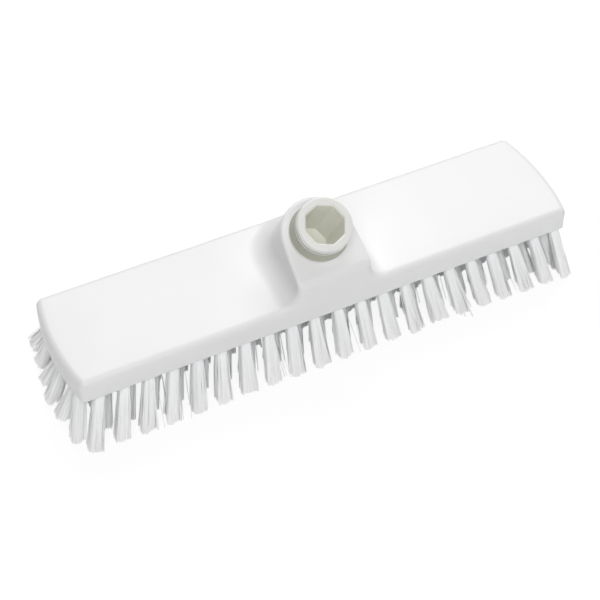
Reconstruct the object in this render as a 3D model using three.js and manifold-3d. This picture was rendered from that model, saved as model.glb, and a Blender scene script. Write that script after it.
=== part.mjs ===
// Floor scrub brush: a moulded block with a slanted hub, a pressed-in handle socket
// and banks of flared bristle tufts. Millimetres, +Z up, the bristle tips stand on Z = 0.
// X runs along the block, and the socket leans towards the front, which is -Y.
import * as THREE from 'three';
import * as BufferGeometryUtils from 'three/addons/utils/BufferGeometryUtils.js';
import Module from 'manifold-3d';

const wasm = await Module();
wasm.setup();

// Block
const BLOCK_LENGTH = 305;
const BLOCK_WIDTH = 70;
const BLOCK_THICKNESS = 15;
const CROWN_RISE = 0.8;
const EDGE_RADIUS = 5.8;
const TOP_CORNER_RADIUS = 0.4;
const END_RADIUS = 225;
const RIM_WALL = 2.2;
const SLICE_THICKNESS = 4;

// Hub on top of the block
const SOCKET_ANGLE = THREE.MathUtils.degToRad(60);
const AXIS_HEIGHT = 41.9;
const AXIS_SETBACK = 21.8;
const HUB_RADIUS = 21;
const HUB_FRONT_WIDTH = 44.5;
const FOOT_RADIUS = 12;
const BACK_FOOT = 4.8;
const BREAK_RADIUS = 4;

// Handle socket
const COLLAR_HEIGHT = 16.4;
const RIM_DIAMETER = 31;
const BAND_DIAMETER = 32;
const LIP_DIAMETER = 33.6;
const LIP_HEIGHT = 1.6;
const GROOVE_DEPTH = 0.6;
const GROOVE_WIDTH = 0.9;
const RIM_HEIGHT = 4.2;
const RIM_ROUND = 1.2;
const PLUG_DIAMETER = 28;
const PLUG_DEPTH = 27;
const PLUG_CHAMFER = 1.5;
const BORE_FLATS = 21.4;
const BORE_END_FLATS = 20;
const BORE_FLOOR = 3;
const BORE_LEAD = 0.8;

// Bristles: the rows share the width between the row margins, each row holds as many tufts as
// fit between the end margins, and the tips of the end tufts reach past the block's ends
const BRISTLE_HEIGHT = 32;
const ROWS = 7;
const OUTER_BANK_ROWS = 2;
const ROW_MARGIN = 6.8;
const TUFT_PITCH = 14.05;
const END_MARGIN = 8;
const TUFT_DIAMETER = 6.6;
const TUFT_TIP_DIAMETER = 9;
const STRANDS_PER_TUFT = 3;
const STRAND_SHARE = 0.42;
const ROW_FLARE = 13.2;
const FLARE_POWER = 2;
const LENGTH_FAN = 0.075;
const TIP_REACH = 5;
const TIP_BOW = 10.2;
const END_LEAN_POWER = 4;
const STRAND_ROOT = 1;

const CLEARANCE = 0.3;
const ROUND_STEPS = 48;
const ARC_STEPS = 6;

// Places worked out from the sizes above
const underside = BRISTLE_HEIGHT;
const shoulder = underside + BLOCK_THICKNESS;
const halfWidth = BLOCK_WIDTH / 2;
const cornerRadius = EDGE_RADIUS + TOP_CORNER_RADIUS;
const axisY = -halfWidth + AXIS_SETBACK;
const axisZ = underside + AXIS_HEIGHT;
const socketAxis = new THREE.Vector3(0, -Math.cos(SOCKET_ANGLE), Math.sin(SOCKET_ANGLE));
const rowSpacing = (BLOCK_WIDTH - 2 * ROW_MARGIN) / (ROWS - 1);
const stagger = TUFT_PITCH / 4;
const rowRoom = BLOCK_LENGTH - 2 * (END_MARGIN + stagger);
const tuftsPerRow = 1 + Math.floor(rowRoom / TUFT_PITCH);
const rowNumbers = Array.from({ length: ROWS }, (unused, row) => row);
const banks = {
  front_bristle_bank: rowNumbers.slice(0, OUTER_BANK_ROWS),
  middle_bristle_bank: rowNumbers.slice(OUTER_BANK_ROWS, ROWS - OUTER_BANK_ROWS),
  rear_bristle_bank: rowNumbers.slice(ROWS - OUTER_BANK_ROWS),
};

function solidOf(geometry) {
  const bare = geometry.clone();
  bare.deleteAttribute('normal');
  bare.deleteAttribute('uv');
  const merged = BufferGeometryUtils.mergeVertices(bare, 1e-4);
  return new wasm.Manifold(new wasm.Mesh({
    numProp: 3,
    vertProperties: new Float32Array(merged.attributes.position.array),
    triVerts: new Uint32Array(merged.index.array),
  }));
}

function geometryOf(solid) {
  const mesh = solid.getMesh();
  const geometry = new THREE.BufferGeometry();
  geometry.setAttribute('position', new THREE.BufferAttribute(mesh.vertProperties, 3));
  geometry.setIndex(new THREE.BufferAttribute(mesh.triVerts, 1));
  geometry.computeVertexNormals();
  return geometry;
}

// A closed skin through rings of equally many points, listed from the bottom to the top,
// each ring counter-clockwise seen from above, with flat caps on the first and the last.
function loft(rings) {
  const count = rings[0].length;
  const positions = rings.flat().flatMap((point) => [point.x, point.y, point.z]);
  const triangles = [];
  for (let ring = 0; ring + 1 < rings.length; ring += 1) {
    for (let step = 0; step < count; step += 1) {
      const a = ring * count + step;
      const b = ring * count + ((step + 1) % count);
      triangles.push(a, b, b + count, a, b + count, a + count);
    }
  }
  const cap = (ring) => {
    const flat = rings[ring].map((point) => new THREE.Vector2(point.x, point.y));
    const faces = THREE.ShapeUtils.triangulateShape(flat, []);
    return faces.map((face) => face.map((corner) => corner + ring * count));
  };
  for (const [a, b, c] of cap(0)) triangles.push(a, c, b);
  for (const [a, b, c] of cap(rings.length - 1)) triangles.push(a, b, c);
  const geometry = new THREE.BufferGeometry();
  geometry.setAttribute('position', new THREE.Float32BufferAttribute(positions, 3));
  geometry.setIndex(triangles);
  return geometry;
}

// The block seen from above, drawn inwards by inset: two straight long sides and two
// bowed ends joined by round corners. Every arc keeps its centre as the inset grows.
function blockShape(inset) {
  const endCentre = BLOCK_LENGTH / 2 - END_RADIUS;
  const cornerY = halfWidth - cornerRadius;
  const cornerX = endCentre + Math.sqrt((END_RADIUS - cornerRadius) ** 2 - cornerY ** 2);
  const turn = Math.atan2(cornerY, cornerX - endCentre);
  const corner = cornerRadius - inset;
  const end = END_RADIUS - inset;
  const quarter = Math.PI / 2;
  const shape = new THREE.Shape();
  shape.absarc(cornerX, -cornerY, corner, -quarter, -turn, false);
  shape.absarc(endCentre, 0, end, -turn, turn, false);
  shape.absarc(cornerX, cornerY, corner, turn, quarter, false);
  shape.absarc(-cornerX, cornerY, corner, quarter, 2 * quarter - turn, false);
  shape.absarc(-endCentre, 0, end, 2 * quarter - turn, 2 * quarter + turn, false);
  shape.absarc(-cornerX, -cornerY, corner, 2 * quarter + turn, 3 * quarter, false);
  return shape;
}

function blockRing(inset, z) {
  const points = blockShape(inset).getPoints(ARC_STEPS);
  const apart = (point, other) => point.distanceTo(other) > 1e-6;
  const open = points.filter((point, index) => apart(point, points.at(index - 1)));
  return open.map((point) => new THREE.Vector3(point.x, point.y, z));
}

// The moulded body: upright walls, a rounded top edge and a slightly crowned top.
function bodySolid() {
  const rings = [blockRing(0, underside)];
  for (let step = 0; step <= ARC_STEPS; step += 1) {
    const angle = (Math.PI / 2) * (step / ARC_STEPS);
    const inset = EDGE_RADIUS * (1 - Math.cos(angle));
    rings.push(blockRing(inset, shoulder - EDGE_RADIUS * (1 - Math.sin(angle))));
  }
  const edge = rings[rings.length - 1];
  const spine = BLOCK_LENGTH / 2 - halfWidth;
  const crownSteps = 4;
  for (let step = 1; step < crownSteps; step += 1) {
    const inward = step / crownSteps;
    const rise = CROWN_RISE * (1 - (1 - inward) ** 2);
    rings.push(edge.map((point) => {
      const nearest = THREE.MathUtils.clamp(point.x, -spine, spine);
      const x = THREE.MathUtils.lerp(point.x, nearest, inward);
      return new THREE.Vector3(x, point.y * (1 - inward), shoulder + rise);
    }));
  }
  return solidOf(loft(rings));
}

// How far the block's top has dropped at y on its rounded long edge.
function edgeDrop(y) {
  const past = Math.min(Math.max(Math.abs(y) - (halfWidth - EDGE_RADIUS), 0), EDGE_RADIUS);
  return EDGE_RADIUS - Math.sqrt(EDGE_RADIUS ** 2 - past ** 2);
}

// One level of the hub: round behind the socket axis, straight sides that widen towards the
// front, all spread by flare. Near the foot the ring follows the block's rounded front edge.
function hubRing(z, flare, footShare) {
  const y0 = axisY + (axisZ - z) / Math.tan(SOCKET_ANGLE);
  const overhang = EDGE_RADIUS;
  const sideSteps = 10;
  const points = [];
  for (let step = 0; step <= ROUND_STEPS / 2; step += 1) {
    const angle = (2 * Math.PI * step) / ROUND_STEPS;
    const reach = HUB_RADIUS / Math.sin(SOCKET_ANGLE) + flare * (BACK_FOOT / FOOT_RADIUS);
    points.push([(HUB_RADIUS + flare) * Math.cos(angle), y0 + reach * Math.sin(angle)]);
  }
  const side = (step) => {
    const y = THREE.MathUtils.lerp(y0, -halfWidth - overhang, Math.sqrt(step / sideSteps));
    const share = (y0 - y) / (y0 + halfWidth);
    return [THREE.MathUtils.lerp(HUB_RADIUS, HUB_FRONT_WIDTH / 2, share) + flare, y];
  };
  for (let step = 1; step <= sideSteps; step += 1) points.push([-side(step)[0], side(step)[1]]);
  for (let step = sideSteps; step >= 1; step -= 1) points.push(side(step));
  return points.map(([x, y]) => new THREE.Vector3(x, y, z - footShare * edgeDrop(y)));
}

// The hub leans forward with the socket and meets the block in a hollow foot.
function hubSolid() {
  const steps = 8;
  const rings = [];
  for (let step = 0; step <= steps; step += 1) {
    const angle = (Math.PI / 2) * ((step + 1) / (steps + 1));
    const flare = FOOT_RADIUS * (1 - Math.sin(angle));
    const rise = FOOT_RADIUS * (1 - Math.cos(angle));
    if (step === 0) rings.push(hubRing(shoulder - EDGE_RADIUS / 2, flare, 1));
    rings.push(hubRing(shoulder + rise, flare, 1 - rise / FOOT_RADIUS));
  }
  const top = axisZ + 2 * HUB_RADIUS;
  rings.push(hubRing(top, 0, 0));
  return solidOf(loft(rings)).intersect(hubEnvelope(top));
}

// The hub seen from the side: the upright front, a round break and the slanted face that
// stands square to the socket axis.
function hubEnvelope(top) {
  const slope = Math.PI / 2 - SOCKET_ANGLE;
  const breakZ = axisZ - AXIS_SETBACK * Math.tan(slope);
  const tangent = BREAK_RADIUS * Math.tan((Math.PI / 2 - slope) / 2);
  const back = BLOCK_WIDTH;
  const shape = new THREE.Shape();
  const foot = underside + SLICE_THICKNESS + 2 * CLEARANCE;
  shape.moveTo(-halfWidth, foot);
  shape.lineTo(back, foot);
  shape.lineTo(back, breakZ + (back + halfWidth) * Math.tan(slope));
  shape.lineTo(-halfWidth + tangent * Math.cos(slope), breakZ + tangent * Math.sin(slope));
  const square = Math.PI / 2;
  shape.absarc(-halfWidth + BREAK_RADIUS, breakZ - tangent, BREAK_RADIUS, square + slope, 2 * square, false);
  const width = 2 * top;
  const settings = { depth: width, bevelEnabled: false, curveSegments: ARC_STEPS };
  const geometry = new THREE.ExtrudeGeometry(shape, settings);
  const alongX = new THREE.Matrix4().makeBasis(
    new THREE.Vector3(0, 1, 0),
    new THREE.Vector3(0, 0, 1),
    new THREE.Vector3(1, 0, 0),
  );
  geometry.applyMatrix4(alongX);
  geometry.translate(-width / 2, 0, 0);
  return solidOf(geometry);
}

// Turns a solid of revolution about Y onto the socket axis, with Y = 0 on the hub's face.
function ontoSocketAxis(geometry) {
  const up = new THREE.Vector3(0, 1, 0);
  geometry.applyQuaternion(new THREE.Quaternion().setFromUnitVectors(up, socketAxis));
  geometry.translate(0, axisY, axisZ);
  return geometry;
}

function seatBore() {
  const over = COLLAR_HEIGHT;
  const depth = PLUG_DEPTH + CLEARANCE;
  const radius = PLUG_DIAMETER / 2 + CLEARANCE;
  const geometry = new THREE.CylinderGeometry(radius, radius, depth + over, ROUND_STEPS);
  geometry.translate(0, (over - depth) / 2, 0);
  return solidOf(ontoSocketAxis(geometry));
}

function plateSolid(inset, bottom, height) {
  return solidOf(loft([blockRing(inset, bottom), blockRing(inset, bottom + height)]));
}

function brushBlock() {
  const below = 1;
  const pocket = plateSolid(RIM_WALL, underside - below, below + SLICE_THICKNESS + CLEARANCE);
  return bodySolid().add(hubSolid()).subtract(seatBore()).subtract(pocket);
}

// The pressed-in socket: plug, lip that seats on the hub, band, groove and rounded rim,
// with a blind, slightly tapered eight-sided bore for the handle.
function handleSocket() {
  const plug = PLUG_DIAMETER / 2;
  const lip = LIP_DIAMETER / 2;
  const band = BAND_DIAMETER / 2;
  const rim = RIM_DIAMETER / 2;
  const rimFoot = COLLAR_HEIGHT - RIM_HEIGHT;
  const profile = new THREE.Path();
  profile.moveTo(0, -PLUG_DEPTH);
  profile.lineTo(plug - PLUG_CHAMFER, -PLUG_DEPTH);
  profile.lineTo(plug, -PLUG_DEPTH + PLUG_CHAMFER);
  profile.lineTo(plug, CLEARANCE);
  profile.lineTo(lip, CLEARANCE);
  profile.lineTo(lip, LIP_HEIGHT);
  profile.lineTo(band, LIP_HEIGHT + (lip - band));
  profile.lineTo(rim, rimFoot - GROOVE_WIDTH);
  profile.lineTo(rim - GROOVE_DEPTH, rimFoot - GROOVE_WIDTH);
  profile.lineTo(rim - GROOVE_DEPTH, rimFoot);
  profile.lineTo(rim, rimFoot);
  profile.lineTo(rim, COLLAR_HEIGHT - RIM_ROUND);
  profile.absarc(rim - RIM_ROUND, COLLAR_HEIGHT - RIM_ROUND, RIM_ROUND, 0, Math.PI / 2, false);
  profile.lineTo(0, COLLAR_HEIGHT);
  const body = solidOf(ontoSocketAxis(new THREE.LatheGeometry(profile.getPoints(3), ROUND_STEPS)));
  return body.subtract(handleBore());
}

function handleBore() {
  const acrossCorners = 1 / Math.cos(Math.PI / 8);
  const mouth = (BORE_FLATS / 2) * acrossCorners;
  const end = (BORE_END_FLATS / 2) * acrossCorners;
  const floor = -PLUG_DEPTH + BORE_FLOOR;
  const sides = 8;
  const bore = new THREE.CylinderGeometry(mouth, end, COLLAR_HEIGHT - floor, sides);
  bore.translate(0, (COLLAR_HEIGHT + floor) / 2, 0);
  const over = 2 * BORE_LEAD;
  const lead = new THREE.CylinderGeometry(mouth + BORE_LEAD + over, mouth, over + BORE_LEAD, sides);
  lead.translate(0, COLLAR_HEIGHT + (over - BORE_LEAD) / 2, 0);
  return solidOf(ontoSocketAxis(bore)).add(solidOf(ontoSocketAxis(lead)));
}

// Root and tip of one tuft. Rows are staggered by half a pitch and flare with their distance
// from the middle row, by its square along a row and evenly at its ends. The tips also fan out
// along the row, and its last tufts lean out to a bowed line.
function tuftEnds(row, index) {
  const middleRow = (ROWS - 1) / 2;
  const shift = row % 2 === 0 ? stagger : -stagger;
  const x = (index - (tuftsPerRow - 1) / 2) * TUFT_PITCH + shift;
  const y = (row - middleRow) * rowSpacing;
  const rowEnd = ((tuftsPerRow - 1) / 2) * TUFT_PITCH + Math.sign(x) * shift;
  const endShare = (Math.abs(x) / rowEnd) ** END_LEAN_POWER;
  const outward = Math.abs(row - middleRow) / middleRow;
  const flare = ROW_FLARE * outward ** THREE.MathUtils.lerp(FLARE_POWER, 1, endShare);
  const tipY = y + Math.sign(row - middleRow) * flare;
  const bow = TIP_BOW * outward ** 2;
  const reach = BLOCK_LENGTH / 2 + TIP_REACH - bow - rowEnd * (1 + LENGTH_FAN);
  const tipX = x * (1 + LENGTH_FAN) + Math.sign(x) * reach * endShare;
  return { root: new THREE.Vector3(x, y, underside), tip: new THREE.Vector3(tipX, tipY, 0) };
}

// The strands of one tuft: tapered three-sided rods that spread from root to tip, with their
// tips trimmed level on the floor and their roots sunk in the slice. One strand faces outwards.
function tuftStrands(row, index) {
  const { root, tip } = tuftEnds(row, index);
  const outwards = row < (ROWS - 1) / 2 ? -Math.PI / 2 : Math.PI / 2;
  const sides = 3;
  const strands = [];
  for (let strand = 0; strand < STRANDS_PER_TUFT; strand += 1) {
    const around = (2 * Math.PI * strand) / STRANDS_PER_TUFT + outwards;
    const ring = (centre, tuftRadius) => {
      const rodRadius = tuftRadius * STRAND_SHARE;
      const offset = tuftRadius - rodRadius;
      return Array.from({ length: sides }, (unused, corner) => {
        const angle = around + (2 * Math.PI * corner) / sides;
        return new THREE.Vector3(
          centre.x + offset * Math.cos(around) + rodRadius * Math.cos(angle),
          centre.y + offset * Math.sin(around) + rodRadius * Math.sin(angle),
          centre.z,
        );
      });
    };
    const lean = root.clone().sub(tip).multiplyScalar(STRAND_ROOT / BRISTLE_HEIGHT);
    const sunk = root.clone().add(lean);
    strands.push(loft([ring(tip, TUFT_TIP_DIAMETER / 2), ring(sunk, TUFT_DIAMETER / 2)]));
  }
  return strands;
}

// A bank of rows: the strands fused to their strip of the block's underside.
function bristleBank(rows) {
  const middleRow = (ROWS - 1) / 2;
  const first = rows[0];
  const last = rows[rows.length - 1];
  const cut = (row) => (row - middleRow) * rowSpacing;
  const front = first === 0 ? -BLOCK_WIDTH : cut(first - 0.5) + CLEARANCE / 2;
  const rear = last === ROWS - 1 ? BLOCK_WIDTH : cut(last + 0.5) - CLEARANCE / 2;
  const strip = new THREE.BoxGeometry(2 * BLOCK_LENGTH, rear - front, 4 * SLICE_THICKNESS);
  strip.translate(0, (front + rear) / 2, underside);
  const slice = plateSolid(RIM_WALL + CLEARANCE, underside, SLICE_THICKNESS).intersect(solidOf(strip));
  const strands = [];
  for (const row of rows) {
    for (let index = 0; index < tuftsPerRow; index += 1) strands.push(...tuftStrands(row, index));
  }
  return slice.add(solidOf(BufferGeometryUtils.mergeGeometries(strands)));
}

const blockPlastic = new THREE.MeshStandardMaterial({ color: 0xf4f4f4, roughness: 0.35, metalness: 0 });
const socketPlastic = new THREE.MeshStandardMaterial({ color: 0xe6e6dc, roughness: 0.5, metalness: 0 });
const bristleNylon = new THREE.MeshStandardMaterial({ color: 0xe4e8ea, roughness: 0.45, metalness: 0 });

const brush = new THREE.Group();

function addPart(name, solid, material) {
  const mesh = new THREE.Mesh(geometryOf(solid), material.clone());
  mesh.name = name;
  brush.add(mesh);
}

addPart('brush_block', brushBlock(), blockPlastic);
addPart('handle_socket', handleSocket(), socketPlastic);
for (const [name, rows] of Object.entries(banks)) addPart(name, bristleBank(rows), bristleNylon);

export default brush;
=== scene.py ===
import math

import bmesh
import bpy
import numpy as np
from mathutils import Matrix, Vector


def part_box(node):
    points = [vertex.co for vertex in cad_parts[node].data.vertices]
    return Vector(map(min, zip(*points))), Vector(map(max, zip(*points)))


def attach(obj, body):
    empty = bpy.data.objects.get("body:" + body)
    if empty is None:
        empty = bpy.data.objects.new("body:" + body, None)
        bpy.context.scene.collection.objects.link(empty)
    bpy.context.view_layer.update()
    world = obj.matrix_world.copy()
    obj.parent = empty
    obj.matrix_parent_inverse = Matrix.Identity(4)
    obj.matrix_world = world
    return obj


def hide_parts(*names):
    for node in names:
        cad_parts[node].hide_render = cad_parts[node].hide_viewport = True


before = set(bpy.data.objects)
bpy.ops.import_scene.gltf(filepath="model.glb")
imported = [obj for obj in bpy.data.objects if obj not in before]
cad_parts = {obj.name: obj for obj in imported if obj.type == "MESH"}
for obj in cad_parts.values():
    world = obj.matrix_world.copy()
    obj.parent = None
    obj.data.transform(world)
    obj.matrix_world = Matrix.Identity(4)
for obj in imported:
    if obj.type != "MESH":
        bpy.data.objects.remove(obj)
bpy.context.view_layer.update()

# Floor scrub brush: a white moulded block with a slanted hub, an ivory handle socket pressed
# into the hub, and seven staggered rows of flared bristle tufts. Sizes are in millimetres in
# the brush's own frame, with Z = 0 on the floor and the socket leaning towards -Y.
MM = 0.001

# Block, with its overall sizes read from the frame
block_low, block_high = (np.array(corner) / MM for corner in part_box("brush_block"))
END_BULGE = 0.7
LENGTH = block_high[0] - block_low[0] + 2 * END_BULGE
WIDTH = block_high[1] - block_low[1]
UNDERSIDE = block_low[2]
THICKNESS = 14.2
SHOULDER = UNDERSIDE + THICKNESS
CROWN_RISE = 0.8
EDGE_RADIUS = 4.2
BOTTOM_EDGE = 0.7
CORNER_RADIUS = 3.6
END_RADIUS = 145

# Hub
SOCKET_ANGLE = math.radians(60)
FACE_SLOPE = math.pi / 2 - SOCKET_ANGLE
AXIS_Y = -WIDTH / 2 + 21.8
AXIS_Z = UNDERSIDE + 41.9
HUB_RADIUS = 21
HUB_FRONT_HALF = 44.5 / 2
FACE_EDGE = 1.8
FOOT_RADIUS = 12
BACK_FOOT = 8
HUB_CORNER = 3
SEAT_RADIUS = 14.3
SEAT_DEPTH = 27.3

# Handle socket, measured along its axis from the hub's face
COLLAR_HEIGHT = 16.4
RIM_RADIUS = 31 / 2
BAND_RADIUS = 32 / 2
LIP_RADIUS = 33.6 / 2
LIP_HEIGHT = 1.6
LIP_GAP = 0.3
GROOVE_DEPTH = 1
GROOVE_WIDTH = 1.4
RING_WIDTH = 1.2
RIM_HEIGHT = 4.2
RIM_ROUND = 1.2
PLUG_RADIUS = 14
PLUG_DEPTH = 27
PLUG_CHAMFER = 1.5
BORE_FLATS = 21.4
BORE_END_FLATS = 20
BORE_FLOOR = 3
BORE_LEAD = 0.8
BORE_SIDES = 8
SMALL_ROUND = 0.25
BORE_ZONE_RADIUS = PLUG_RADIUS - 1
ZONE_MARGIN = 0.1

# Bristles, in rows counted from the front; the fan is a shift for each millimetre along a row
ROWS = 7
TUFTS_PER_ROW = 21
ROW_SPACING = 9.4
TUFT_PITCH = 14.05
ROW_FLARE = 13.2
FLARE_POWER = 2
LENGTH_FAN = 0.075
TIP_REACH = 5 - END_BULGE
TIP_BOW = 10.2
REAR_TIP_BOW = 6.5
END_LEAN_POWER = 4
TUFT_RADIUS = 3.05
DISH_DEPTH = 0.9
DISH_FROM = TUFT_RADIUS - 0.4
DISH_TO = TUFT_RADIUS + 0.9
ROOT_INSET = 0.6
TIP_HALF_LENGTH = 4.4
TIP_HALF_WIDTH = 3.3
END_TIP_LENGTH = 3.6
END_TIP_WIDTH = 4.7
TIP_SQUARENESS = 0.9
INNER_COMB = 1.0
SECOND_ROW_COMB = -2.9
SECOND_ROW_FAN = -0.022
SECOND_ROW_REACH = 3.5
LOCKS = 5
TOOTH_DEPTH = 1.6
BANK_ROWS = {
    "front_bristle_bank": (0, 1),
    "middle_bristle_bank": (2, 3, 4),
    "rear_bristle_bank": (5, 6),
}

# Filaments of one tuft
FILAMENTS = 150
OUTER_FILAMENTS = 84
INNER_REACH = 0.9
EDGE_STEP = 0.05
FILAMENT_WIDTH = 0.36
FILAMENT_TIP_WIDTH = 0.46
FILAMENT_FLATNESS = 0.35
CORE_SHARE = 0.66
CORE_END = 5.0
STRAY_SHARE = 0.025
STRAY_LEAN = np.array([2.4, 1.8])
STRAY_DRIFT = np.array([1.0, 0])

# Standard deviations of what differs by chance: lengths, and for twist and facing angles and
# for slant a slope
COMB_SPREAD = 0.7
LOCK_SPREAD = 0.35
LOCK_CUT_SPREAD = 1.0
TWIST_SPREAD = 0.12
TIP_SPREAD = 0.22
SLANT_SPREAD = 0.12
RAGGED_SPREAD = 0.4
BOW_SPREAD = 0.25
FACING_SPREAD = 0.2
FIRST_SEED = 11

# How finely the surfaces are drawn
AROUND_BLOCK = 560
CORNER_FINENESS = 4
ALONG_MERIDIAN = 92
EVEN_RAYS = 240
TOP_RAYS = 320
TOP_START = 0.15
WALL_RAYS = 80
HALVINGS = 30
FINE_STEPS = 900
TURN_SHARE = 1.4
BOTTOM_EDGE_STEPS = 4
ACROSS_UNDERSIDE = 44
AROUND_SOCKET = 192
SHARP_EDGE = math.radians(38)
MERGE_DISTANCE = 1e-6
SHORTEST_EDGE = 1e-7

# Finishes
WHITE = (0.82, 0.82, 0.825)
WHITE_ROUGHNESS = 0.4
WHITE_GLOSS_SPREAD = 0.04
WHITE_SUBSURFACE = 0.1
WHITE_SUBSURFACE_COLOUR = (1, 0.95, 0.85)
TONE_DROP = 0.985
TONE_GRAIN = 60
GLOSS_GRAIN = 25
IVORY_RIM = (0.78, 0.78, 0.76)
# Painted shade: the band and both grooves are darkened and turned olive as they look in shade
IVORY_BAND_PAINTED_SHADE = (0.42, 0.42, 0.345)
# Painted light: the bore is paler than the rim, standing in for light that comes through the ivory
# walls
IVORY_BORE_PAINTED_LIGHT = (0.96, 0.96, 0.88)
IVORY_ROUGHNESS = (0.33, 0.45)
IVORY_GLOSS_GRAIN = 12
IVORY_SUBSURFACE = 0.3
IVORY_SUBSURFACE_COLOUR = (1, 0.97, 0.85)
PLASTIC_IOR = 1.49
SUBSURFACE_DEPTH = 1.5
# Painted light at the filaments' tips and painted shade at their roots, under the block
FIBRE_TIP_PAINTED_LIGHT = (0.985, 0.985, 0.98)
FIBRE_ROOT_PAINTED_SHADE = (0.95, 0.97, 0.975)
FIBRE_TONES = (0.97, 1.0)
FIBRE_ROUGHNESS = (0.32, 0.48)
FIBRE_STREAK_GRAIN = 0.8
FIBRE_STREAK_RANGE = (0.3, 0.7)
FIBRE_IOR = 1.58
FIBRE_COAT = 1.0
FIBRE_COAT_ROUGHNESS = 0.25

# Studio, in metres, with each softbox's place, size and power in watts
FLOOR_HALF = 4.0
FLOOR_LIT = 0.92
FLOOR_SEEN = 0.15
FLOOR_GLOW = 0.88
SKY_LIGHT = 0.055
SOFTBOXES = {
    "front_softbox": ((-0.5, -1.2, 1.5), 1.2, 24.2),
    "back_softbox": ((0.3, 1.3, 1.5), 1.2, 16.3),
    "back_right_softbox": ((1.1, 1.0, 1.4), 1.0, 10.2),
    "left_softbox": ((-1.0, 1.3, 0.7), 1.0, 1.2),
    "right_softbox": ((1.45, -0.75, 0.7), 1.0, 3.3),
}

# The photograph's view, with the point at the picture's middle on the underside's plane
CAMERA_TURN = math.radians(26.034)
CAMERA_TILT = math.radians(47.727)
CAMERA_DISTANCE = 920.29
CAMERA_ANGLE = math.radians(20.589)
PICTURE_MIDDLE = (-13.82, -18.65, UNDERSIDE)


def smooth_step(value, start, end):
    """0 before start, 1 after end, and an even S-curve between them."""
    share = np.clip((value - start) / (end - start), 0, 1)
    return share * share * (3 - 2 * share)


def round_union(a, b, radius):
    """Joins two forms given by their distances, with a hollow fillet of that radius where both
    are near: the radius, or the lesser distance if more, less the length of what each lacks."""
    hollow = np.hypot(np.maximum(radius - a, 0), np.maximum(radius - b, 0))
    return np.maximum(radius, np.minimum(a, b)) - hollow


def round_cut(a, b, radius):
    """Keeps what two forms given by their distances share, with its edge rounded to that radius,
    as a union does with the signs turned round."""
    edge = np.hypot(np.maximum(radius + a, 0), np.maximum(radius + b, 0))
    return np.minimum(-radius, np.maximum(a, b)) + edge


def plan_distance(x, y):
    """Distance outside the block's outline seen from above: two straight long sides and two
    bowed ends about centres on the long axis, joined by round corners."""
    side = np.abs(y) - WIDTH / 2
    end = np.hypot(np.abs(x) + END_RADIUS - LENGTH / 2, y) - END_RADIUS
    return round_cut(side, end, CORNER_RADIUS)


def top_height(x, y):
    """Height of the block's top: the shoulder plus a crown that grows inwards as a parabola."""
    inward = (-plan_distance(x, y) - EDGE_RADIUS) / (WIDTH / 2 - EDGE_RADIUS)
    return SHOULDER + CROWN_RISE * (1 - (1 - np.clip(inward, 0, 1)) ** 2)


def hub_climb(y, z):
    """How far a point lies up the slope of the hub's face from the socket axis."""
    return (y - AXIS_Y) * math.sin(SOCKET_ANGLE) + (z - AXIS_Z) * math.cos(SOCKET_ANGLE)


def hub_distance(x, y, z):
    """Distance outside the hub: round about the socket axis behind it, with straight sides that
    widen from the axis to the block's front, cut square to the axis by the face."""
    climb = hub_climb(y, z)
    axis_y = AXIS_Y + (AXIS_Z - z) / math.tan(SOCKET_ANGLE)
    forward = np.clip((axis_y - y) / (axis_y + WIDTH / 2), 0, 1)
    sides = np.abs(x) - HUB_RADIUS - (HUB_FRONT_HALF - HUB_RADIUS) * forward
    wall = np.where(climb > 0, np.hypot(x, climb) - HUB_RADIUS, sides)
    above = (z - AXIS_Z) * math.sin(SOCKET_ANGLE) - (y - AXIS_Y) * math.cos(SOCKET_ANGLE)
    return round_cut(wall, above, FACE_EDGE)


def moulded_form(x, y, z):
    """Distance outside the moulding: the block's top and the hub joined by a hollow foot, which
    narrows behind the hub, and cut by the outline's upright walls with a rounded edge."""
    backward = np.clip(hub_climb(y, z) / HUB_RADIUS, 0, 1)
    foot = np.sqrt(FOOT_RADIUS**2 * (1 - backward**2) + BACK_FOOT**2 * backward**2)
    body = round_union(z - top_height(x, y), hub_distance(x, y, z), foot)
    up_hub = smooth_step(z, SHOULDER, SHOULDER + FOOT_RADIUS)
    edge = EDGE_RADIUS + (HUB_CORNER - EDGE_RADIUS) * up_hub
    return round_cut(body, plan_distance(x, y), edge)


def outline_points(count):
    """Points on the block's outline, from the middle of the right end round by the back, and their
    outward normals. They are evenly spaced apart from the corners, where they are closer. One
    quarter is an end arc, a corner arc and half a long side, and the other three mirror it."""
    end_centre = LENGTH / 2 - END_RADIUS
    corner_y = WIDTH / 2 - CORNER_RADIUS
    corner_x = end_centre + math.sqrt((END_RADIUS - CORNER_RADIUS) ** 2 - corner_y**2)
    turn = math.atan2(corner_y, corner_x - end_centre)
    end_length = END_RADIUS * turn
    corner_pace = CORNER_FINENESS * CORNER_RADIUS
    corner_run = corner_pace * (math.pi / 2 - turn)
    quarter = end_length + corner_run + corner_x
    run = np.arange(count) * (4 * quarter / count)
    part = np.floor(run / quarter).astype(int)
    along = np.where(part % 2 == 0, run - part * quarter, (part + 1) * quarter - run)
    end_angle = np.minimum(along, end_length) / END_RADIUS
    corner_angle = turn + np.clip(along - end_length, 0, corner_run) / corner_pace
    on_end = along <= end_length
    angle = np.where(on_end, end_angle, corner_angle)
    side_run = np.maximum(along - end_length - corner_run, 0)
    end_x = end_centre + END_RADIUS * np.cos(end_angle)
    end_y = END_RADIUS * np.sin(end_angle)
    x = np.where(on_end, end_x, corner_x + CORNER_RADIUS * np.cos(corner_angle) - side_run)
    y = np.where(on_end, end_y, corner_y + CORNER_RADIUS * np.sin(corner_angle))
    flip_x = np.array([1, -1, -1, 1])[part]
    flip_y = np.array([1, 1, -1, -1])[part]
    points = np.stack([flip_x * x, flip_y * y], axis=-1)
    normals = np.stack([flip_x * np.cos(angle), flip_y * np.sin(angle)], axis=-1)
    return points, normals


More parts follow.
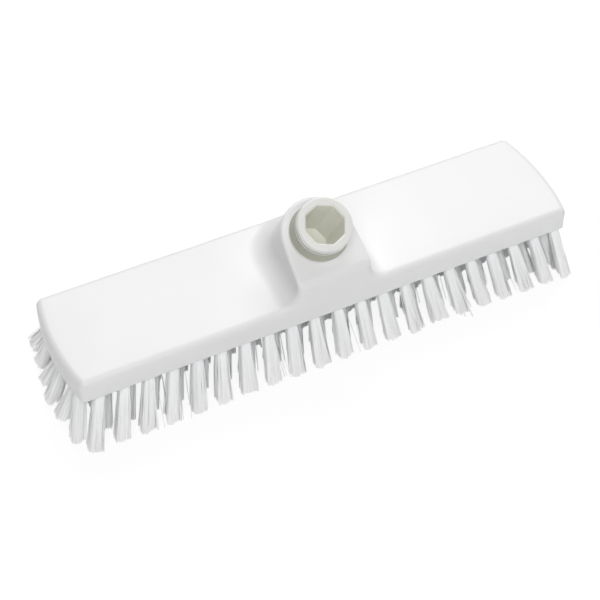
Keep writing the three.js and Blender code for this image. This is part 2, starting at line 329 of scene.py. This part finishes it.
def spread_along(lines, measure, count):
    """Moves each line's points so that count of them share its measure evenly. Lines and their
    running measures are laid end to end, so one interpolation serves them all."""
    total = measure[:, -1:]
    offset = 2 * np.arange(len(lines))[:, None]
    known = (measure / total + offset).ravel()
    wanted = (np.linspace(0, 1, count)[None, :] + offset).ravel()
    axes = range(lines.shape[-1])
    columns = [np.interp(wanted, known, lines[..., axis].ravel()) for axis in axes]
    return np.stack(columns, axis=-1).reshape(len(lines), count, -1)


def running_length(lines):
    """Length of each line from its start to each of its points."""
    steps = np.linalg.norm(np.diff(lines, axis=1), axis=-1)
    return np.concatenate([np.zeros((len(lines), 1)), np.cumsum(steps, axis=1)], axis=1)


def meridians(outline):
    """The moulding's skin from the socket's seat to the foot of the walls. Upright half-planes
    stand on the line through the middle of the face, one for each outline point. In each, rays
    from a pivot inside the block meet the skin where the form's distance is zero, found by
    halving, and the points are then spaced by length plus turning so that edges get more."""
    pivot_z = UNDERSIDE + BOTTOM_EDGE
    reach = np.hypot(outline[:, 0], outline[:, 1] - AXIS_Y)
    heading_x = outline[:, 0] / reach
    heading_y = (outline[:, 1] - AXIS_Y) / reach
    seat = SEAT_RADIUS / np.hypot(heading_x, heading_y / math.cos(FACE_SLOPE))
    seat_rise = AXIS_Z + seat * heading_y * math.tan(FACE_SLOPE) - pivot_z
    first = np.arctan2(seat_rise, seat)[:, None]
    even = first * np.linspace(1, 0, EVEN_RAYS)
    top_reach = reach[:, None] * np.linspace(TOP_START, 1, TOP_RAYS)
    top = np.arctan2(SHOULDER - pivot_z, top_reach)
    wall_rise = np.linspace(THICKNESS - BOTTOM_EDGE, 0, WALL_RAYS)
    wall = np.arctan2(wall_rise, reach[:, None])
    rays = np.minimum(np.concatenate([even, top, wall], axis=1), first)
    angles = -np.sort(-rays, axis=1)
    near = np.zeros_like(angles)
    far = np.full_like(angles, LENGTH)
    for _ in range(HALVINGS):
        middle = (near + far) / 2
        out = middle * np.cos(angles)
        height = pivot_z + middle * np.sin(angles)
        x = out * heading_x[:, None]
        y = AXIS_Y + out * heading_y[:, None]
        inside = moulded_form(x, y, height) < 0
        near = np.where(inside, middle, near)
        far = np.where(inside, far, middle)
    lines = np.stack([far * np.cos(angles), pivot_z + far * np.sin(angles)], axis=-1)
    lines = spread_along(lines, running_length(lines), FINE_STEPS)
    steps = np.diff(lines, axis=1)
    heading = np.unwrap(np.arctan2(steps[..., 1], steps[..., 0]), axis=1)
    turning = np.abs(np.diff(heading, axis=1))
    turned = np.concatenate([np.zeros((len(lines), 2)), np.cumsum(turning, axis=1)], axis=1)
    measure = running_length(lines)
    measure = measure / measure[:, -1:] + TURN_SHARE * turned / turned[:, -1:]
    lines = spread_along(lines, measure, ALONG_MERIDIAN)
    x = lines[..., 0] * heading_x[:, None]
    y = AXIS_Y + lines[..., 0] * heading_y[:, None]
    return np.stack([x, y, lines[..., 1]], axis=-1).transpose(1, 0, 2)


def tuft_ends():
    """Root and tip of each tuft, as rows by tufts by XYZ. Rows are staggered by half a pitch and
    flare with their distance from the middle row, by its square along a row and evenly at its
    ends. The tips also fan out along the row, and its last tufts lean out to a bowed line, which
    bows less at the rear."""
    row = (np.arange(ROWS) - (ROWS - 1) / 2)[:, None]
    index = (np.arange(TUFTS_PER_ROW) - (TUFTS_PER_ROW - 1) / 2)[None, :]
    shift = np.where(np.arange(ROWS) % 2 == 0, 1, -1)[:, None] * TUFT_PITCH / 4
    x = index * TUFT_PITCH + shift
    row_end = (TUFTS_PER_ROW - 1) / 2 * TUFT_PITCH + np.sign(x) * shift
    end_share = (np.abs(x) / row_end) ** END_LEAN_POWER
    outward = np.abs(row) / row.max()
    flare = np.sign(row) * ROW_FLARE * outward ** (FLARE_POWER + (1 - FLARE_POWER) * end_share)
    bow = np.where(row > 0, REAR_TIP_BOW, TIP_BOW)
    reach = LENGTH / 2 + TIP_REACH - bow * outward**2 - row_end * (1 + LENGTH_FAN)
    tip_x = x * (1 + LENGTH_FAN) + np.sign(x) * reach * end_share
    level = np.ones_like(x)
    root = np.stack([x, row * ROW_SPACING * level, UNDERSIDE * level], axis=-1)
    tip = np.stack([tip_x, row * ROW_SPACING + flare, 0 * level], axis=-1)
    return root, tip


def grid_faces(rings, around):
    """Quads between neighbouring rings of points, closed round, that face out where the rings run
    outwards and down and the points run counter-clockwise seen from above."""
    ring = np.arange(rings - 1)[:, None] * around
    step = np.arange(around)[None, :]
    after = (step + 1) % around
    corners = [ring + step, ring + around + step, ring + around + after, ring + after]
    return np.stack(corners, axis=-1).reshape(-1, 4)


def new_piece(name, points, quads, material, sharp=None):
    """A mesh of those points, in millimetres, and quads. Where sharp is given, points that meet are
    merged and it is smooth but for edges sharper than that. Otherwise its faces are flat."""
    mesh = bpy.data.meshes.new(name)
    flat = np.ascontiguousarray(points.reshape(-1, 3) * MM, dtype=np.float32)
    mesh.vertices.add(len(flat))
    mesh.vertices.foreach_set("co", flat.ravel())
    mesh.loops.add(quads.size)
    mesh.loops.foreach_set("vertex_index", quads.astype(np.int32).ravel())
    mesh.polygons.add(len(quads))
    mesh.polygons.foreach_set("loop_start", np.arange(0, quads.size, 4, dtype=np.int32))
    mesh.update(calc_edges=True)
    if sharp is not None:
        shell = bmesh.new()
        shell.from_mesh(mesh)
        bmesh.ops.remove_doubles(shell, verts=shell.verts, dist=MERGE_DISTANCE)
        bmesh.ops.dissolve_degenerate(shell, edges=shell.edges, dist=SHORTEST_EDGE)
        shell.to_mesh(mesh)
        shell.free()
    mesh.polygons.foreach_set("use_smooth", np.full(len(mesh.polygons), sharp is not None))
    if sharp is not None:
        mesh.set_sharp_from_angle(angle=sharp)
    piece = bpy.data.objects.new(name, mesh)
    bpy.context.collection.objects.link(piece)
    mesh.materials.append(material)
    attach(piece, "root")
    return piece


def block_skin():
    """The block as one closed skin of rings: the floor and wall of the socket's seat, the
    meridians over the hub and the top to the foot of the walls, a small rounded bottom edge, and
    the underside drawn in to the block's long axis, dished round each tuft."""
    outline, normals = outline_points(AROUND_BLOCK)
    skin = meridians(outline)
    into = np.array([0, math.cos(SOCKET_ANGLE), -math.sin(SOCKET_ANGLE)])
    seat_edge = skin[0]
    floor_middle = np.array([0, AXIS_Y, AXIS_Z]) + SEAT_DEPTH * into
    floor_edge = seat_edge + SEAT_DEPTH * into
    floor_share = np.array([0, 0.5, 1])[:, None, None]
    seat_floor = floor_middle + (floor_edge - floor_middle) * floor_share
    wall_share = np.array([1 / 3, 2 / 3])[:, None, None]
    seat_wall = floor_edge + (seat_edge - floor_edge) * wall_share
    angle = np.linspace(0, math.pi / 2, BOTTOM_EDGE_STEPS + 1)[1:, None, None]
    level = np.ones((1, AROUND_BLOCK, 1))
    edge_plan = outline - normals * BOTTOM_EDGE * (1 - np.cos(angle))
    edge_height = level * (UNDERSIDE + BOTTOM_EDGE * (1 - np.sin(angle)))
    bottom_edge = np.concatenate([edge_plan, edge_height], axis=-1)
    spine_x = np.clip(outline[:, 0], -(LENGTH - WIDTH) / 2, (LENGTH - WIDTH) / 2)
    spine = np.stack([spine_x, np.zeros(AROUND_BLOCK)], axis=-1)
    share = np.linspace(0, 1, ACROSS_UNDERSIDE + 1)[1:, None, None]
    under_plan = edge_plan[-1] + (spine - edge_plan[-1]) * share
    roots = tuft_ends()[0][..., :2].reshape(-1, 2)
    nearest = np.full(under_plan.shape[:2], WIDTH)
    for root in roots:
        nearest = np.minimum(nearest, np.linalg.norm(under_plan - root, axis=-1))
    dish = DISH_DEPTH * (1 - smooth_step(nearest, DISH_FROM, DISH_TO))
    underside = np.concatenate([under_plan, (UNDERSIDE + dish)[..., None]], axis=-1)
    rings = np.concatenate([seat_floor, seat_wall, skin, bottom_edge, underside])
    return rings, grid_faces(len(rings), AROUND_BLOCK)


def arc(centre_out, centre_up, radius, start, end, steps):
    """Points of a profile's round corner, as distance from the axis and height along it."""
    angle = np.radians(np.linspace(start, end, steps))
    out = centre_out + radius * np.cos(angle)
    up = centre_up + radius * np.sin(angle)
    return np.stack([out, up], axis=-1)


def socket_skin():
    """The socket as a profile turned about its axis: the bore, the rim, two grooves with a thin
    ring between them, the band, the lip and the plug. Each ring's distance from the axis is that
    of a circle, or in the bore that of an octagon: half its flats over the cosine of the angle
    from the middle of the nearest flat."""
    corner = 1 / math.cos(math.pi / BORE_SIDES)
    floor = -PLUG_DEPTH + BORE_FLOOR
    mouth = BORE_FLATS / 2
    lead = mouth + BORE_LEAD / corner
    end = BORE_END_FLATS / 2
    lead_foot = COLLAR_HEIGHT - BORE_LEAD
    bore = np.array([
        [0, floor],
        [end / 2, floor],
        [end, floor],
        [end + (mouth - end) / 3, floor + (lead_foot - floor) / 3],
        [mouth - (mouth - end) / 3, floor + (lead_foot - floor) * 2 / 3],
        [mouth, lead_foot],
        [lead, COLLAR_HEIGHT],
    ])
    rim_foot = COLLAR_HEIGHT - RIM_HEIGHT
    ring_top = rim_foot - GROOVE_WIDTH
    ring_foot = ring_top - RING_WIDTH
    band_top = ring_foot - GROOVE_WIDTH
    groove = RIM_RADIUS - GROOVE_DEPTH
    small = SMALL_ROUND
    outside = np.concatenate([
        arc(RIM_RADIUS - RIM_ROUND, COLLAR_HEIGHT - RIM_ROUND, RIM_ROUND, 90, 0, 8),
        arc(RIM_RADIUS - small, rim_foot + small, small, 0, -90, 4),
        [[groove, rim_foot], [groove, ring_top]],
        arc(RIM_RADIUS - small, ring_top - small, small, 90, 0, 4),
        arc(RIM_RADIUS - small, ring_foot + small, small, 0, -90, 4),
        [[groove, ring_foot], [groove, band_top]],
        arc(RIM_RADIUS - small, band_top - small, small, 90, 0, 4),
        [[BAND_RADIUS, LIP_HEIGHT + LIP_RADIUS - BAND_RADIUS]],
        arc(LIP_RADIUS - 2 * small, LIP_HEIGHT - 2 * small, 2 * small, 60, 0, 5),
        arc(LIP_RADIUS - small, LIP_GAP + small, small, 0, -90, 4),
        [[PLUG_RADIUS, LIP_GAP]],
        [[PLUG_RADIUS, -PLUG_DEPTH / 2]],
        [[PLUG_RADIUS, -PLUG_DEPTH + PLUG_CHAMFER]],
        [[PLUG_RADIUS - PLUG_CHAMFER, -PLUG_DEPTH]],
        [[PLUG_RADIUS / 2, -PLUG_DEPTH]],
        [[0, -PLUG_DEPTH]],
    ])
    profile = np.concatenate([bore, outside])
    around = np.arange(AROUND_SOCKET) * (2 * math.pi / AROUND_SOCKET)
    side = 2 * math.pi / BORE_SIDES
    flat = 1 / np.cos(np.mod(around, side) - side / 2)
    eight_sided = (np.arange(len(profile)) < len(bore))[:, None]
    distance = profile[:, :1] * np.where(eight_sided, flat[None, :], 1)
    across = np.array([1, 0, 0])
    uphill = np.array([0, math.sin(SOCKET_ANGLE), math.cos(SOCKET_ANGLE)])
    axis = np.array([0, -math.cos(SOCKET_ANGLE), math.sin(SOCKET_ANGLE)])
    rings = (
        np.array([0, AXIS_Y, AXIS_Z])
        + (distance * np.cos(around))[..., None] * across
        + (distance * np.sin(around))[..., None] * uphill
        + profile[:, 1][:, None, None] * axis
    )
    return rings, grid_faces(len(rings), AROUND_SOCKET)


def filament_bank(rows, seed):
    """The filaments of some rows of tufts, as points, quads and a tone for each point. In each
    tuft they start in a round hole, the inner ones on a sunflower spiral and the rest on its
    edge, and end on the same pattern spread over a rounded oblong. They are drawn together in a
    few locks, with ends cut in teeth and ragged, a slight bow and now and then a stray that leans
    away. Tips of the inner rows are combed to one side, and those of the second row also reach
    forwards. Each filament is a flat four-sided rod along its bent path, and a plain four-sided
    core closes the view through the tuft."""
    chance = np.random.default_rng(seed)
    root_middle, tip_middle = (ends[list(rows)].reshape(-1, 1, 3) for ends in tuft_ends())
    tufts = len(root_middle)
    shape = (tufts, FILAMENTS)
    row = np.round(root_middle[..., 1] / ROW_SPACING)
    second = row == (3 - ROWS) / 2
    second_comb = SECOND_ROW_COMB + SECOND_ROW_FAN * root_middle[..., 0]
    comb = np.where(second, second_comb, INNER_COMB)
    comb = np.where(np.abs(row) < (ROWS - 1) / 2, chance.normal(comb, COMB_SPREAD), 0)
    reach = np.where(second, -SECOND_ROW_REACH, 0)
    tip_middle = tip_middle + np.stack([comb, reach, 0 * comb], axis=-1)
    root_x = np.abs(root_middle[..., :1])
    at_end = (root_x / root_x.max()) ** END_LEAN_POWER
    tip_half = np.array([TIP_HALF_LENGTH, TIP_HALF_WIDTH])
    tip_half = tip_half + (np.array([END_TIP_LENGTH, END_TIP_WIDTH]) - tip_half) * at_end
    number = np.arange(FILAMENTS)
    inner = np.sqrt((number + 0.5) / (FILAMENTS - OUTER_FILAMENTS))
    order = np.where(inner < 1, INNER_REACH * inner, 1 - EDGE_STEP * (number % 2))
    golden = math.pi * (3 - math.sqrt(5))
    angle = number * golden + chance.uniform(0, 2 * math.pi, (tufts, 1))
    disc = order[None, :, None] * np.stack([np.cos(angle), np.sin(angle)], axis=-1)
    lock_place = (angle / (2 * math.pi)) % 1 * LOCKS
    lock = np.floor(lock_place).astype(int)
    tooth = TOOTH_DEPTH * np.abs(2 * (lock_place - lock) - 1)
    lock_shift = chance.normal(0, LOCK_SPREAD, (tufts, LOCKS, 2))
    lock_shift = np.take_along_axis(lock_shift, lock[..., None].repeat(2, axis=-1), axis=1)
    twist = chance.normal(0, TWIST_SPREAD, (tufts, 1))
    turned = np.stack([
        disc[..., 0] * np.cos(twist) - disc[..., 1] * np.sin(twist),
        disc[..., 0] * np.sin(twist) + disc[..., 1] * np.cos(twist),
    ], axis=-1)
    longer = np.abs(turned).max(axis=-1, keepdims=True)
    square = np.linalg.norm(turned, axis=-1, keepdims=True) / longer
    tip_spread = turned * square**TIP_SQUARENESS * tip_half
    jitter = chance.normal(0, TIP_SPREAD, shape + (2,))
    tip_spread = tip_spread + lock_shift * order[None, :, None] + jitter
    stray = chance.random(shape) < STRAY_SHARE * order[None, :]
    stray_lean = chance.normal(0, 1, shape + (2,)) * STRAY_LEAN + STRAY_DRIFT
    tip_spread = tip_spread + np.where(stray[..., None], stray_lean, 0)
    tuft_slant = chance.normal(0, SLANT_SPREAD, (tufts, 1, 2))
    lock_cut = np.abs(chance.normal(0, LOCK_CUT_SPREAD, (tufts, LOCKS)))
    lock_cut = np.take_along_axis(lock_cut, lock, axis=1)
    ragged = np.abs(chance.normal(0, RAGGED_SPREAD, shape)) + lock_cut + tooth
    cut = ragged + np.maximum((tip_spread * tuft_slant).sum(axis=-1), 0)
    root_plan = root_middle[..., :2] + disc * TUFT_RADIUS
    root_height = np.full(shape + (1,), UNDERSIDE + ROOT_INSET)
    root = np.concatenate([root_plan, root_height], axis=-1)
    tip_plan = tip_middle[..., :2] + tip_spread
    tip = np.concatenate([tip_plan, np.minimum(cut, CORE_END)[..., None]], axis=-1)
    bow_plan = chance.normal(0, BOW_SPREAD, shape + (2,))
    bow = np.concatenate([bow_plan, np.zeros(shape + (1,))], axis=-1)
    share = np.array([0, 0.5, 1])[:, None]
    path = root[..., None, :] + (tip - root)[..., None, :] * share
    path = path + bow[..., None, :] * (4 * share * (1 - share))
    signed_square = disc * np.abs(disc)
    facing = np.arctan2(signed_square[..., 1], signed_square[..., 0])
    facing = (facing + chance.normal(0, FACING_SPREAD, shape))[..., None, None]
    corner = np.arange(4) * (math.pi / 2)
    width = FILAMENT_WIDTH + (FILAMENT_TIP_WIDTH - FILAMENT_WIDTH) * share
    outward = FILAMENT_FLATNESS * width * np.cos(corner)
    along = width * np.sin(corner)
    ring_x = outward * np.cos(facing) - along * np.sin(facing)
    ring_y = outward * np.sin(facing) + along * np.cos(facing)
    rods = path[..., None, :] + np.stack([ring_x, ring_y, 0 * ring_x], axis=-1)
    diagonal = corner + math.pi / 4
    square_corners = np.stack([np.cos(diagonal), np.sin(diagonal)], axis=-1)
    half = TUFT_RADIUS + (tip_half[..., None, None, :] - TUFT_RADIUS) * share[..., None]
    core_ring = math.sqrt(2) * CORE_SHARE * square_corners * half
    core_ring = np.concatenate([core_ring, 0 * core_ring[..., :1]], axis=-1)
    core_share = share * (1 - CORE_END / UNDERSIDE)
    spine = root_middle[..., None, :] + (tip_middle - root_middle)[..., None, :] * core_share
    rods = np.concatenate([rods, spine[..., None, :] + core_ring], axis=1)
    rod_caps = [[0, 1, 2, 3], [8, 11, 10, 9]]
    rod_faces = np.concatenate([grid_faces(len(share), len(corner)), rod_caps])
    rod_points = len(share) * len(corner)
    count = tufts * (FILAMENTS + 1)
    quads = (rod_faces[None] + rod_points * np.arange(count)[:, None, None]).reshape(-1, 4)
    shade = chance.uniform(0, 1, count).repeat(rod_points)
    return rods.reshape(-1, 3), quads, shade


def new_material(name):
    """A node material with one Principled shader on its surface, and that shader and its tree."""
    material = bpy.data.materials.new(name)
    material.use_nodes = True
    tree = material.node_tree
    tree.nodes.clear()
    output = tree.nodes.new("ShaderNodeOutputMaterial")
    shader = tree.nodes.new("ShaderNodeBsdfPrincipled")
    tree.links.new(shader.outputs["BSDF"], output.inputs["Surface"])
    return material, tree, shader


def noise(tree, coordinates, grain, detail):
    """A noise pattern whose grains are about that many millimetres across."""
    node = tree.nodes.new("ShaderNodeTexNoise")
    node.inputs["Scale"].default_value = 1 / (grain * MM)
    node.inputs["Detail"].default_value = detail
    tree.links.new(coordinates, node.inputs["Vector"])
    return node.outputs["Fac"]


def map_range(tree, value, low, high, out_low, out_high):
    """Value carried from one range to another and held inside it."""
    node = tree.nodes.new("ShaderNodeMapRange")
    node.inputs["From Min"].default_value = low
    node.inputs["From Max"].default_value = high
    node.inputs["To Min"].default_value = out_low
    node.inputs["To Max"].default_value = out_high
    tree.links.new(value, node.inputs["Value"])
    return node.outputs["Result"]


def blend_colours(tree, share, first, second):
    """First colour where share is 0 and second where it is 1."""
    node = tree.nodes.new("ShaderNodeMix")
    node.data_type = "RGBA"
    node.inputs["A"].default_value = (*first, 1)
    node.inputs["B"].default_value = (*second, 1)
    tree.links.new(share, node.inputs["Factor"])
    return node.outputs["Result"]


def block_plastic():
    """White moulded plastic: a broad, faint change of tone and of gloss and a little light carried
    under the surface."""
    material, tree, shader = new_material("white_moulded_plastic")
    place = tree.nodes.new("ShaderNodeTexCoord").outputs["Object"]
    tone = noise(tree, place, TONE_GRAIN, 0.0)
    darker = tuple(TONE_DROP * part for part in WHITE)
    tree.links.new(blend_colours(tree, tone, darker, WHITE), shader.inputs["Base Color"])
    smoothest = WHITE_ROUGHNESS - WHITE_GLOSS_SPREAD
    roughest = WHITE_ROUGHNESS + WHITE_GLOSS_SPREAD
    gloss = map_range(tree, noise(tree, place, GLOSS_GRAIN, 0.0), 0, 1, smoothest, roughest)
    tree.links.new(gloss, shader.inputs["Roughness"])
    shader.inputs["IOR"].default_value = PLASTIC_IOR
    shader.inputs["Subsurface Weight"].default_value = WHITE_SUBSURFACE
    shader.inputs["Subsurface Radius"].default_value = WHITE_SUBSURFACE_COLOUR
    shader.inputs["Subsurface Scale"].default_value = SUBSURFACE_DEPTH * MM
    return material


def point_share(tree, name):
    """A named share that the mesh carries for each point."""
    node = tree.nodes.new("ShaderNodeAttribute")
    node.attribute_name = name
    return node.outputs["Fac"]


def socket_plastic():
    """The ivory of the socket: palest on the rim and the lip, with painted shade that makes the
    band and grooves between them darker and greener, and painted light that gives the bore a warm
    pale tone, with the faint gloss of a moulding."""
    material, tree, shader = new_material("ivory_socket_plastic")
    place = tree.nodes.new("ShaderNodeTexCoord").outputs["Object"]
    # Painted shade on the band and grooves
    outside = blend_colours(tree, point_share(tree, "band_painted_shade_share"), IVORY_RIM, IVORY_BAND_PAINTED_SHADE)
    # Painted light in the bore
    mix = tree.nodes.new("ShaderNodeMix")
    mix.data_type = "RGBA"
    mix.inputs["B"].default_value = (*IVORY_BORE_PAINTED_LIGHT, 1)
    tree.links.new(outside, mix.inputs["A"])
    tree.links.new(point_share(tree, "bore_painted_light_share"), mix.inputs["Factor"])
    tree.links.new(mix.outputs["Result"], shader.inputs["Base Color"])
    grain = noise(tree, place, IVORY_GLOSS_GRAIN, 0.0)
    gloss = map_range(tree, grain, 0, 1, *IVORY_ROUGHNESS)
    tree.links.new(gloss, shader.inputs["Roughness"])
    shader.inputs["IOR"].default_value = PLASTIC_IOR
    shader.inputs["Subsurface Weight"].default_value = IVORY_SUBSURFACE
    shader.inputs["Subsurface Radius"].default_value = IVORY_SUBSURFACE_COLOUR
    shader.inputs["Subsurface Scale"].default_value = SUBSURFACE_DEPTH * MM
    return material


def mark_socket_zones(socket):
    """Shares of the bore, which gets painted light, and of the band with both grooves, which get
    painted shade, on the socket's points, by their distance from its axis and their height along
    it."""
    points = np.empty(3 * len(socket.data.vertices), dtype=np.float32)
    socket.data.vertices.foreach_get("co", points)
    away = points.reshape(-1, 3) / MM - np.array([0, AXIS_Y, AXIS_Z])
    height = away @ np.array([0, -math.cos(SOCKET_ANGLE), math.sin(SOCKET_ANGLE)])
    distance = np.sqrt(np.maximum((away**2).sum(axis=1) - height**2, 0))
    in_bore = (distance < BORE_ZONE_RADIUS) & (height < COLLAR_HEIGHT - BORE_LEAD / 2)
    in_bore = in_bore & (height > -PLUG_DEPTH + BORE_FLOOR / 2)
    rim_foot = COLLAR_HEIGHT - RIM_HEIGHT
    ring_foot = rim_foot - GROOVE_WIDTH - RING_WIDTH
    in_groove = distance < RIM_RADIUS - 2 * ZONE_MARGIN
    above_lip = (distance > PLUG_RADIUS) & (height > LIP_HEIGHT - ZONE_MARGIN)
    below_rim = height < rim_foot + ZONE_MARGIN
    # Painted shade zone: the band below the rim and the inside of both grooves
    in_painted_band_shade = above_lip & below_rim & (in_groove | (height < ring_foot - ZONE_MARGIN))
    for name, share in (("bore_painted_light_share", in_bore), ("band_painted_shade_share", in_painted_band_shade)):
        layer = socket.data.attributes.new(name, "FLOAT", "POINT")
        layer.data.foreach_set("value", share.astype(np.float32))


def bristle_fibre():
    """White filament: painted shade makes it cooler and a little darker at the root, and painted
    light makes it paler at the tip; each filament has its own tone, streaky gloss along it and a
    smooth coat."""
    material, tree, shader = new_material("bristle_fibre")
    place = tree.nodes.new("ShaderNodeTexCoord").outputs["Object"]
    split = tree.nodes.new("ShaderNodeSeparateXYZ")
    tree.links.new(place, split.inputs["Vector"])
    # Painted shade at the root fading to painted light at the tip
    up = map_range(tree, split.outputs["Z"], 0, UNDERSIDE * MM, 0, 1)
    length = blend_colours(tree, up, FIBRE_TIP_PAINTED_LIGHT, FIBRE_ROOT_PAINTED_SHADE)
    tone = map_range(tree, point_share(tree, "filament_tone"), 0, 1, *FIBRE_TONES)
    scaled = tree.nodes.new("ShaderNodeVectorMath")
    scaled.operation = "SCALE"
    tree.links.new(length, scaled.inputs["Vector"])
    tree.links.new(tone, scaled.inputs["Scale"])
    tree.links.new(scaled.outputs["Vector"], shader.inputs["Base Color"])
    streak = noise(tree, place, FIBRE_STREAK_GRAIN, 2.0)
    gloss = map_range(tree, streak, *FIBRE_STREAK_RANGE, *FIBRE_ROUGHNESS)
    tree.links.new(gloss, shader.inputs["Roughness"])
    shader.inputs["IOR"].default_value = FIBRE_IOR
    shader.inputs["Coat Weight"].default_value = FIBRE_COAT
    shader.inputs["Coat Roughness"].default_value = FIBRE_COAT_ROUGHNESS
    return material


def light_path_mask(tree):
    """1 for rays that show a surface to the eye, straight or by mirror or glass, else 0."""
    path = tree.nodes.new("ShaderNodeLightPath")
    total = path.outputs["Is Camera Ray"]
    for kind in ("Is Glossy Ray", "Is Transmission Ray"):
        node = tree.nodes.new("ShaderNodeMath")
        node.operation = "MAXIMUM"
        tree.links.new(total, node.inputs[0])
        tree.links.new(path.outputs[kind], node.inputs[1])
        total = node.outputs[0]
    return total


def floor_finish():
    """A matt pale floor that looks white to the eye and still takes the brush's soft shadow."""
    material = bpy.data.materials.new("studio_floor")
    material.use_nodes = True
    tree = material.node_tree
    tree.nodes.clear()
    output = tree.nodes.new("ShaderNodeOutputMaterial")
    lit = tree.nodes.new("ShaderNodeBsdfDiffuse")
    lit.inputs["Color"].default_value = (FLOOR_LIT, FLOOR_LIT, FLOOR_LIT, 1)
    seen = tree.nodes.new("ShaderNodeBsdfDiffuse")
    seen.inputs["Color"].default_value = (FLOOR_SEEN, FLOOR_SEEN, FLOOR_SEEN, 1)
    glow = tree.nodes.new("ShaderNodeEmission")
    glow.inputs["Strength"].default_value = FLOOR_GLOW
    both = tree.nodes.new("ShaderNodeAddShader")
    tree.links.new(seen.outputs[0], both.inputs[0])
    tree.links.new(glow.outputs[0], both.inputs[1])
    pick = tree.nodes.new("ShaderNodeMixShader")
    tree.links.new(light_path_mask(tree), pick.inputs["Fac"])
    tree.links.new(lit.outputs[0], pick.inputs[1])
    tree.links.new(both.outputs[0], pick.inputs[2])
    tree.links.new(pick.outputs[0], output.inputs["Surface"])
    return material


def add_floor():
    """A flat square of floor under the bristle tips."""
    mesh = bpy.data.meshes.new("studio_floor")
    signs = [(-1, -1), (1, -1), (1, 1), (-1, 1)]
    corners = [(x * FLOOR_HALF, y * FLOOR_HALF, 0) for x, y in signs]
    mesh.from_pydata(corners, [], [(0, 1, 2, 3)])
    mesh.materials.append(floor_finish())
    floor = bpy.data.objects.new("studio_floor", mesh)
    bpy.context.collection.objects.link(floor)


def add_world():
    """An even pale sky, seen as white."""
    world = bpy.data.worlds.new("studio")
    bpy.context.scene.world = world
    world.use_nodes = True
    tree = world.node_tree
    background = tree.nodes["Background"]
    background.inputs["Color"].default_value = (1, 1, 1, 1)
    strength = map_range(tree, light_path_mask(tree), 0, 1, SKY_LIGHT, 1.0)
    tree.links.new(strength, background.inputs["Strength"])


def add_softbox(name, place, size, power):
    """A square soft lamp that faces the middle of the block."""
    lamp = bpy.data.lights.new(name, "AREA")
    lamp.size = size
    lamp.energy = power
    box = bpy.data.objects.new(name, lamp)
    box.location = place
    aim = Vector((0, 0, UNDERSIDE * MM)) - Vector(place)
    box.rotation_euler = aim.to_track_quat("-Z", "Y").to_euler()
    bpy.context.collection.objects.link(box)


def add_camera():
    """A camera at the photograph's place: turned about Z from the front and raised, at its
    distance from the point that lies in the middle of the square picture."""
    level = math.cos(CAMERA_TILT)
    sideways = -math.sin(CAMERA_TURN) * level
    forwards = -math.cos(CAMERA_TURN) * level
    towards = Vector((sideways, forwards, math.sin(CAMERA_TILT)))
    lens = bpy.data.cameras.new("camera")
    lens.sensor_fit = "HORIZONTAL"
    lens.angle = CAMERA_ANGLE
    lens.clip_start = 0.01
    camera = bpy.data.objects.new("camera", lens)
    camera.location = (Vector(PICTURE_MIDDLE) + CAMERA_DISTANCE * towards) * MM
    camera.rotation_euler = (-towards).to_track_quat("-Z", "Y").to_euler()
    bpy.context.collection.objects.link(camera)
    bpy.context.scene.camera = camera


add_camera()

block = new_piece("moulded_block", *block_skin(), block_plastic(), SHARP_EDGE)
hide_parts("brush_block")

socket = new_piece("ivory_socket", *socket_skin(), socket_plastic(), SHARP_EDGE)
mark_socket_zones(socket)
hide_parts("handle_socket")

fibre = bristle_fibre()
for seed, (bank, rows) in enumerate(BANK_ROWS.items()):
    rods, rod_quads, tones = filament_bank(rows, FIRST_SEED + seed)
    filaments = new_piece(bank.replace("bank", "filaments"), rods, rod_quads, fibre)
    tone_layer = filaments.data.attributes.new("filament_tone", "FLOAT", "POINT")
    tone_layer.data.foreach_set("value", tones.astype(np.float32))
    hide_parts(bank)

add_floor()
add_world()
for name, (place, size, power) in SOFTBOXES.items():
    add_softbox(name, place, size, power)

bpy.context.scene.view_settings.view_transform = "Standard"
